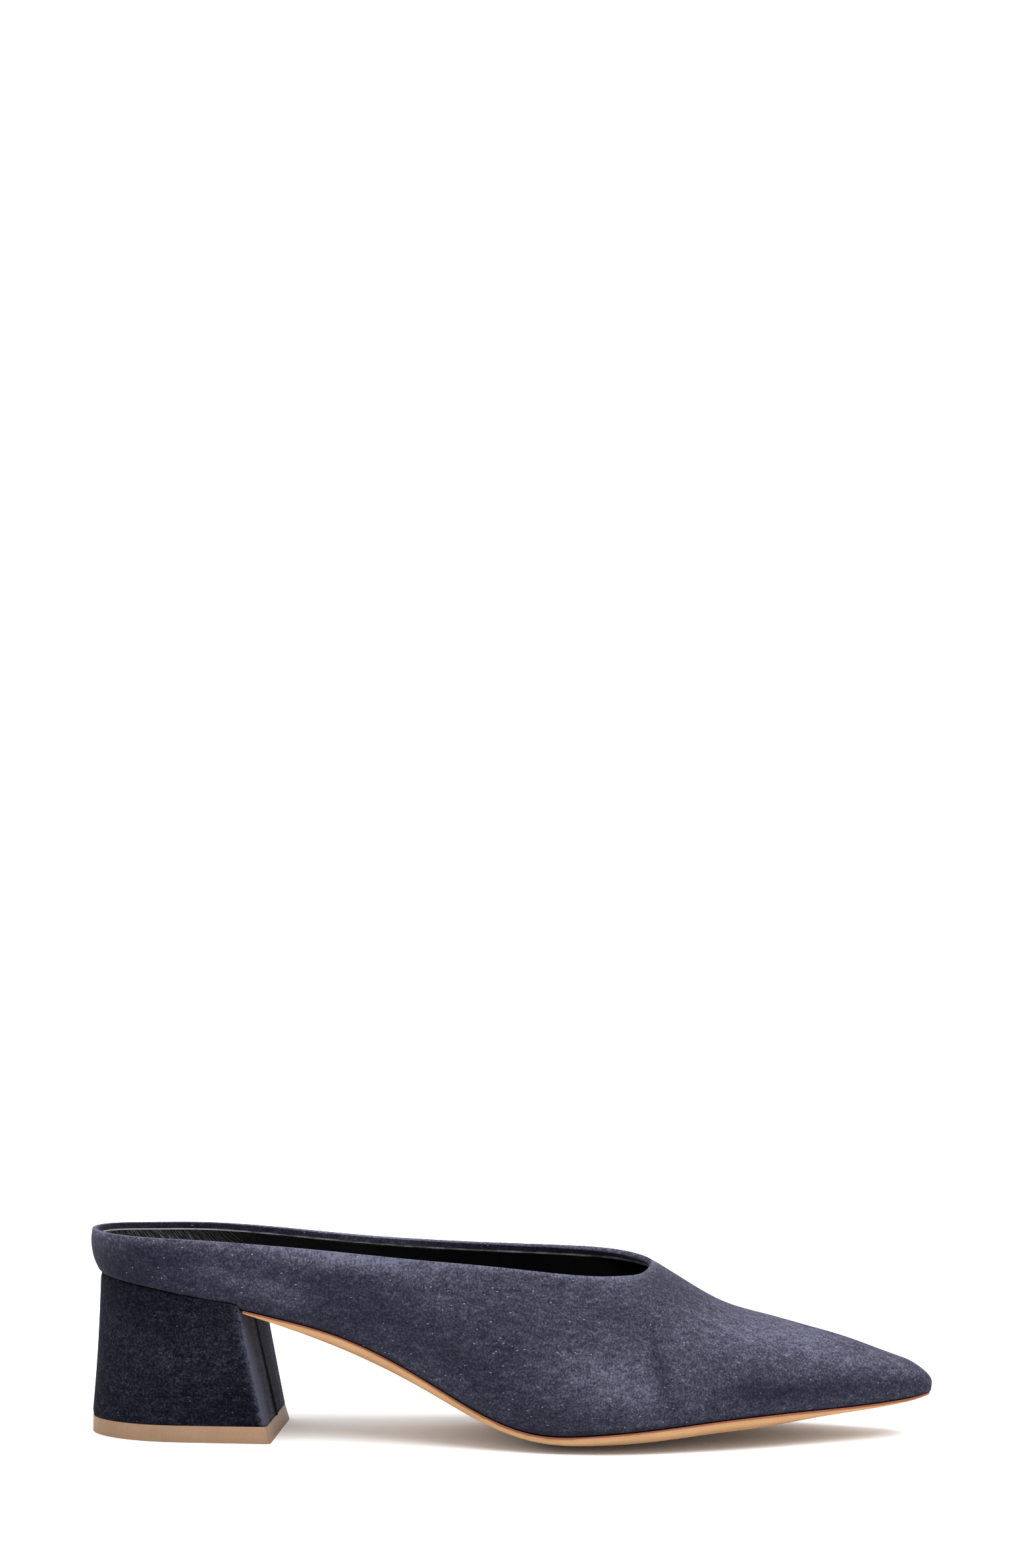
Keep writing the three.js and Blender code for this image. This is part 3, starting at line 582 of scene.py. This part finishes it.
def suede_nap_and_light(vert):
    rim = outer_rim.find(vert.co)[2]
    # painted highlight along the collar's folded crest, and painted shade inside the fold
    crest_highlight = 1.3 * math.exp(-(rim / (1.6 * MM)) ** 2) + 0.4 * math.exp(-(rim / (5 * MM)) ** 2)
    inside = 0.0 if vert in outside else -1.2 * smooth_step(rim / (2.2 * MM))
    # painted light: lighter where the surface faces up, towards the light overhead
    painted_top_light = 1.35 * smooth_step(vert.normal.z / 0.9) - 0.3
    return brushed_tone_and_shade(vert.co, vert.normal) + crest_highlight + inside + painted_top_light


tones = [suede_nap_and_light(v) for v in bm.verts]
for vert, move in moves.items():
    vert.co += move
paint(bm, "nap_and_light", lambda v: tones[v.index])
upper_surface = BVHTree.FromBMesh(bm)
for face in bm.faces:
    face.material_index = 0
finished(bm, "suede_upper", [navy_suede], "upper")

# Lining: black leather inside the suede, its edge skived just below the folded suede

bm = inner_skin
inside = set(regions_of(bm, sharp_edges(bm))[1])
bmesh.ops.delete(bm, geom=[f for f in bm.faces if f not in inside], context="FACES")
bm = subdivided(bm, 2)


def depth(co):
    return inner_rim.find(co)[2]


cut_at(bm, depth, TURNED_EDGE)
above = [f for f in bm.faces if depth(f.calc_center_median()) < TURNED_EDGE]
bmesh.ops.delete(bm, geom=above, context="FACES")
cut_at(bm, depth, TURNED_EDGE + SKIVED_EDGE)
for face in bm.faces:
    face.material_index = int(depth(face.calc_center_median()) < TURNED_EDGE + SKIVED_EDGE)
bm.normal_update()
proud = [depth(v.co) - TURNED_EDGE for v in bm.verts]
for vert, below in zip(bm.verts, proud):
    rise = LINING_CLEARANCE + LINING_THICKNESS * smooth_step(below / SKIVED_EDGE)
    vert.co += vert.normal * rise
bmesh.ops.solidify(bm, geom=list(bm.faces), thickness=LINING_THICKNESS)
seat_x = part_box("heel")[0][0] + SEAT_MIDDLE
paint(bm, "around", lambda v: SEAT_RADIUS * math.atan2(v.co.y, seat_x - v.co.x))
paint(bm, "wrap", lambda v: smooth_step((shoe_back + WRINKLES_END - v.co.x) / WRINKLES_FADE))
finished(bm, "lining", [lining_leather, lining_edge], None)

# Insole: the board under its black sock

bm = merged_copy("insole")
crease(bm, sharp_edges(bm), 0.6)
bm = subdivided(bm, 1)
finished(bm, "sock", [sock_leather], "insole")

# Outsole: tan leather with a burnished line along its top arris

bm = merged_copy("outsole")
sharp = sharp_edges(bm)
top_arris = line_tree([e for e in sharp if max(f.normal.z for f in e.link_faces) > 0.6])
crease(bm, sharp, 1.0)
bm = subdivided(bm, 2)
sole_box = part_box("outsole")


def stain_of(co):
    """How far below the top arris a point is, in widths of the burnished line."""
    share = (co.x - sole_box[0][0]) / (sole_box[1][0] - sole_box[0][0])
    width = STAIN_AT_HEEL + (STAIN_AT_TOE - STAIN_AT_HEEL) * smooth_step((share - 0.6) / 0.4)
    return top_arris.find(co)[2] / width


for widths in (1.5, 0.8):  # rows of vertices that hold the line's edge
    cut_at(bm, stain_of, widths)
paint(bm, "stain", lambda vert: stain_of(vert.co))
finished(bm, "leather_outsole", [tan_leather], "outsole")

# Heel cover: suede round the block, its edges meeting in a lapped seam down the breast

bm = merged_copy("heel")
heel_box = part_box("heel")
heel_foot, heel_front = heel_box[0][2], heel_box[1][0]
heel_corners = {v for e in sharp_edges(bm) for v in e.verts}
# the breast's top edge lies at one x, so the places are sorted to take its outer corner in every run
rim_places = sorted((v.co.copy() for v in heel_corners if v.co.z > heel_foot + HEEL_RIM_LEVEL), key=tuple)
breast_top = max(rim_places, key=lambda place: place.x)
breast_x = breast_top.x
breast_rise = breast_top.z - heel_foot
breast_lean = (heel_front - breast_x) / breast_rise
for row in BREAST_SEAM:
    bm.normal_update()
    breast = [f for f in bm.faces if f.normal.x > 0.85]
    edges = {e for f in breast for e in f.edges}
    bmesh.ops.bisect_plane(bm, geom=breast + list(edges) + list({v for e in edges for v in e.verts}),
                           plane_co=(0, row["across"] * MM, 0), plane_no=(0, 1, 0), dist=0.0001 * MM)
bm.normal_update()
crease(bm, sharp_edges(bm, 60), 1.0)
for vert in bm.verts:
    if vert.normal.x > 0.5 and vert.co.x > breast_x - 1 * MM:
        up = (vert.co.z - heel_foot) / breast_rise
        out = sum(row["out"] * MM for row in BREAST_SEAM if abs(vert.co.y / MM - row["across"]) < 0.05)
        vert.co.x += out * (SEAM_AT_FOOT + (SEAM_AT_TOP - SEAM_AT_FOOT) * up)
bm = subdivided(bm, 2)
bm.normal_update()
heel_surface = BVHTree.FromBMesh(bm)


def rim_height(x, side):
    """The height of the heel's top edge at a place along one side."""
    near = sorted((abs(v.x - x), v.z) for v in rim_places if v.y * side > 0)[:2]
    total = near[0][0] + near[1][0]
    return (near[0][1] * near[1][0] + near[1][1] * near[0][0]) / total if total else near[0][1]


seam_shade_edge = set()  # the cover's cut upper edge, painted dark as shade along the seam
for side in (LATERAL, MEDIAL):
    rows = []
    for i in range(LAP_STEPS + 1):
        to_end = LAP_LENGTH * (1 - i / LAP_STEPS) ** 1.6  # the steps close up towards the front corner
        x = breast_x - LAP_SETBACK - to_end
        height = LAP_HEIGHT * smooth_step(1 - to_end / LAP_LENGTH)
        if to_end < LAP_CORNER:
            height *= math.sqrt(1 - (1 - to_end / LAP_CORNER) ** 2)
        base = rim_height(x, side)
        row = []
        for point in LAP_SECTION:
            level = base + (point["up"] * MM if point["up"] < 0 else point["up"] * height)
            surface = heel_surface if point["on"] == "heel" else upper_surface
            hit = surface.ray_cast(Vector((x, side * 0.2, level)), Vector((0, -side, 0)))[0]
            y = hit.y if hit else row[-1].co.y if row else side * 20 * MM
            row.append(bm.verts.new(Vector((x, y + side * point["out"] * LAP_THICKNESS, level))))
            if point["on"] == "upper" and (point["up"] >= 0.9 or i == LAP_STEPS):
                seam_shade_edge.add(row[-1])
        rows.append(row)
    for near, far in zip(rows, rows[1:]):
        for k in range(len(near) - 1):
            corners = [near[k], far[k], far[k + 1], near[k + 1]]
            bm.faces.new(corners if side == LATERAL else corners[::-1])
bm.normal_update()


def heel_nap_and_light(vert):
    """How light the heel's nap is here, with painted highlight and shade. Distances to the breast and across
    it are in millimetres.
    """
    # painted shade along the seam where the cover meets the upper
    if vert in seam_shade_edge:
        return -3.0
    up = (vert.co.z - heel_foot) / (heel_box[1][2] - heel_foot)
    to_breast = (heel_front - breast_lean * (vert.co.z - heel_foot) - vert.co.x) / MM
    if vert.normal.x > 0.3 and to_breast < 1:
        # the breast: lighter beside its seam, with a painted highlight towards its corners and painted shade
        # where the seam rises
        y = vert.co.y / MM
        seam_tone_and_shade = 1.4 * math.exp(-((y + 7) / 3.5) ** 2) - 5.0 * math.exp(-((y + 2.0) / 0.9) ** 2)
        return 1.3 + seam_tone_and_shade + 3.0 * smooth_step((abs(y) - 8) / 12) * (1.15 - 0.6 * up)
    # the sides: a painted highlight beside the front corner, and a little lighter at mid-height
    corner = 4.0 * math.exp(-((to_breast - 0.4) / 1.9) ** 2) * (1.2 - 0.9 * up)
    return corner + 0.35 * math.exp(-((up - 0.55) / 0.25) ** 2) - 0.75


paint(bm, "nap_and_light", heel_nap_and_light)
for vert in bm.verts:
    if abs(vert.normal.z) < 0.5 and vert.normal.x < 0.5:
        vert.co += vert.normal * PILE * smooth_step((breast_x - vert.co.x) / HEEL_NAP_FADE)
finished(bm, "heel_cover", [heel_suede], "heel")

# Top piece, its moulded edges just rounded

bm = merged_copy("top_piece")
bmesh.ops.bevel(bm, geom=sharp_edges(bm), offset=TOP_PIECE_EDGE, offset_type="OFFSET", segments=2,
                profile=0.5, affect="EDGES", material=-1, clamp_overlap=True)
finished(bm, "heel_top_piece", [taupe_rubber], "top_piece")


# Stage, light and camera: white seamless paper, lit until it burns out

bm = bmesh.new()
bmesh.ops.create_grid(bm, x_segments=1, y_segments=1, size=FLOOR_REACH)
floor_mesh = bpy.data.meshes.new("floor")
bm.to_mesh(floor_mesh)
bm.free()
paper, tree, shader = new_material("studio_paper")
add(tree, shader, {"Base Color": (0.84, 0.84, 0.84, 1), "Roughness": 0.95, "Specular IOR Level": 0.0})
floor_mesh.materials.append(paper)
floor = bpy.data.objects.new("floor", floor_mesh)
bpy.context.scene.collection.objects.link(floor)

world = bpy.data.worlds.new("studio")
bpy.context.scene.world = world
world.use_nodes = True
world.node_tree.nodes["Background"].inputs["Color"].default_value = (1, 1, 1, 1)
world.node_tree.nodes["Background"].inputs["Strength"].default_value = SURROUND_STRENGTH

lamp = bpy.data.lights.new("overhead_silk", "SUN")
lamp.energy = LAMP_STRENGTH
lamp.angle = LAMP_SPREAD
holder = bpy.data.objects.new("overhead_silk", lamp)
holder.rotation_euler = Vector(LAMP_TOWARDS).to_track_quat("-Z", "Y").to_euler()
bpy.context.scene.collection.objects.link(holder)

camera = bpy.data.objects.new("camera", bpy.data.cameras.new("camera"))
back = Vector((math.sin(CAMERA_TURN), -math.cos(CAMERA_TURN), 0))
camera.location = Vector((*CAMERA_AIM, CAMERA_HEIGHT)) + back * CAMERA_DISTANCE
camera.rotation_euler = (math.radians(90), 0, CAMERA_TURN)
camera.data.lens = CAMERA_LENS
camera.data.sensor_width = CAMERA_SENSOR
camera.data.clip_start = 0.01
bpy.context.scene.collection.objects.link(camera)
bpy.context.scene.camera = camera
bpy.context.scene.view_settings.view_transform = "Standard"
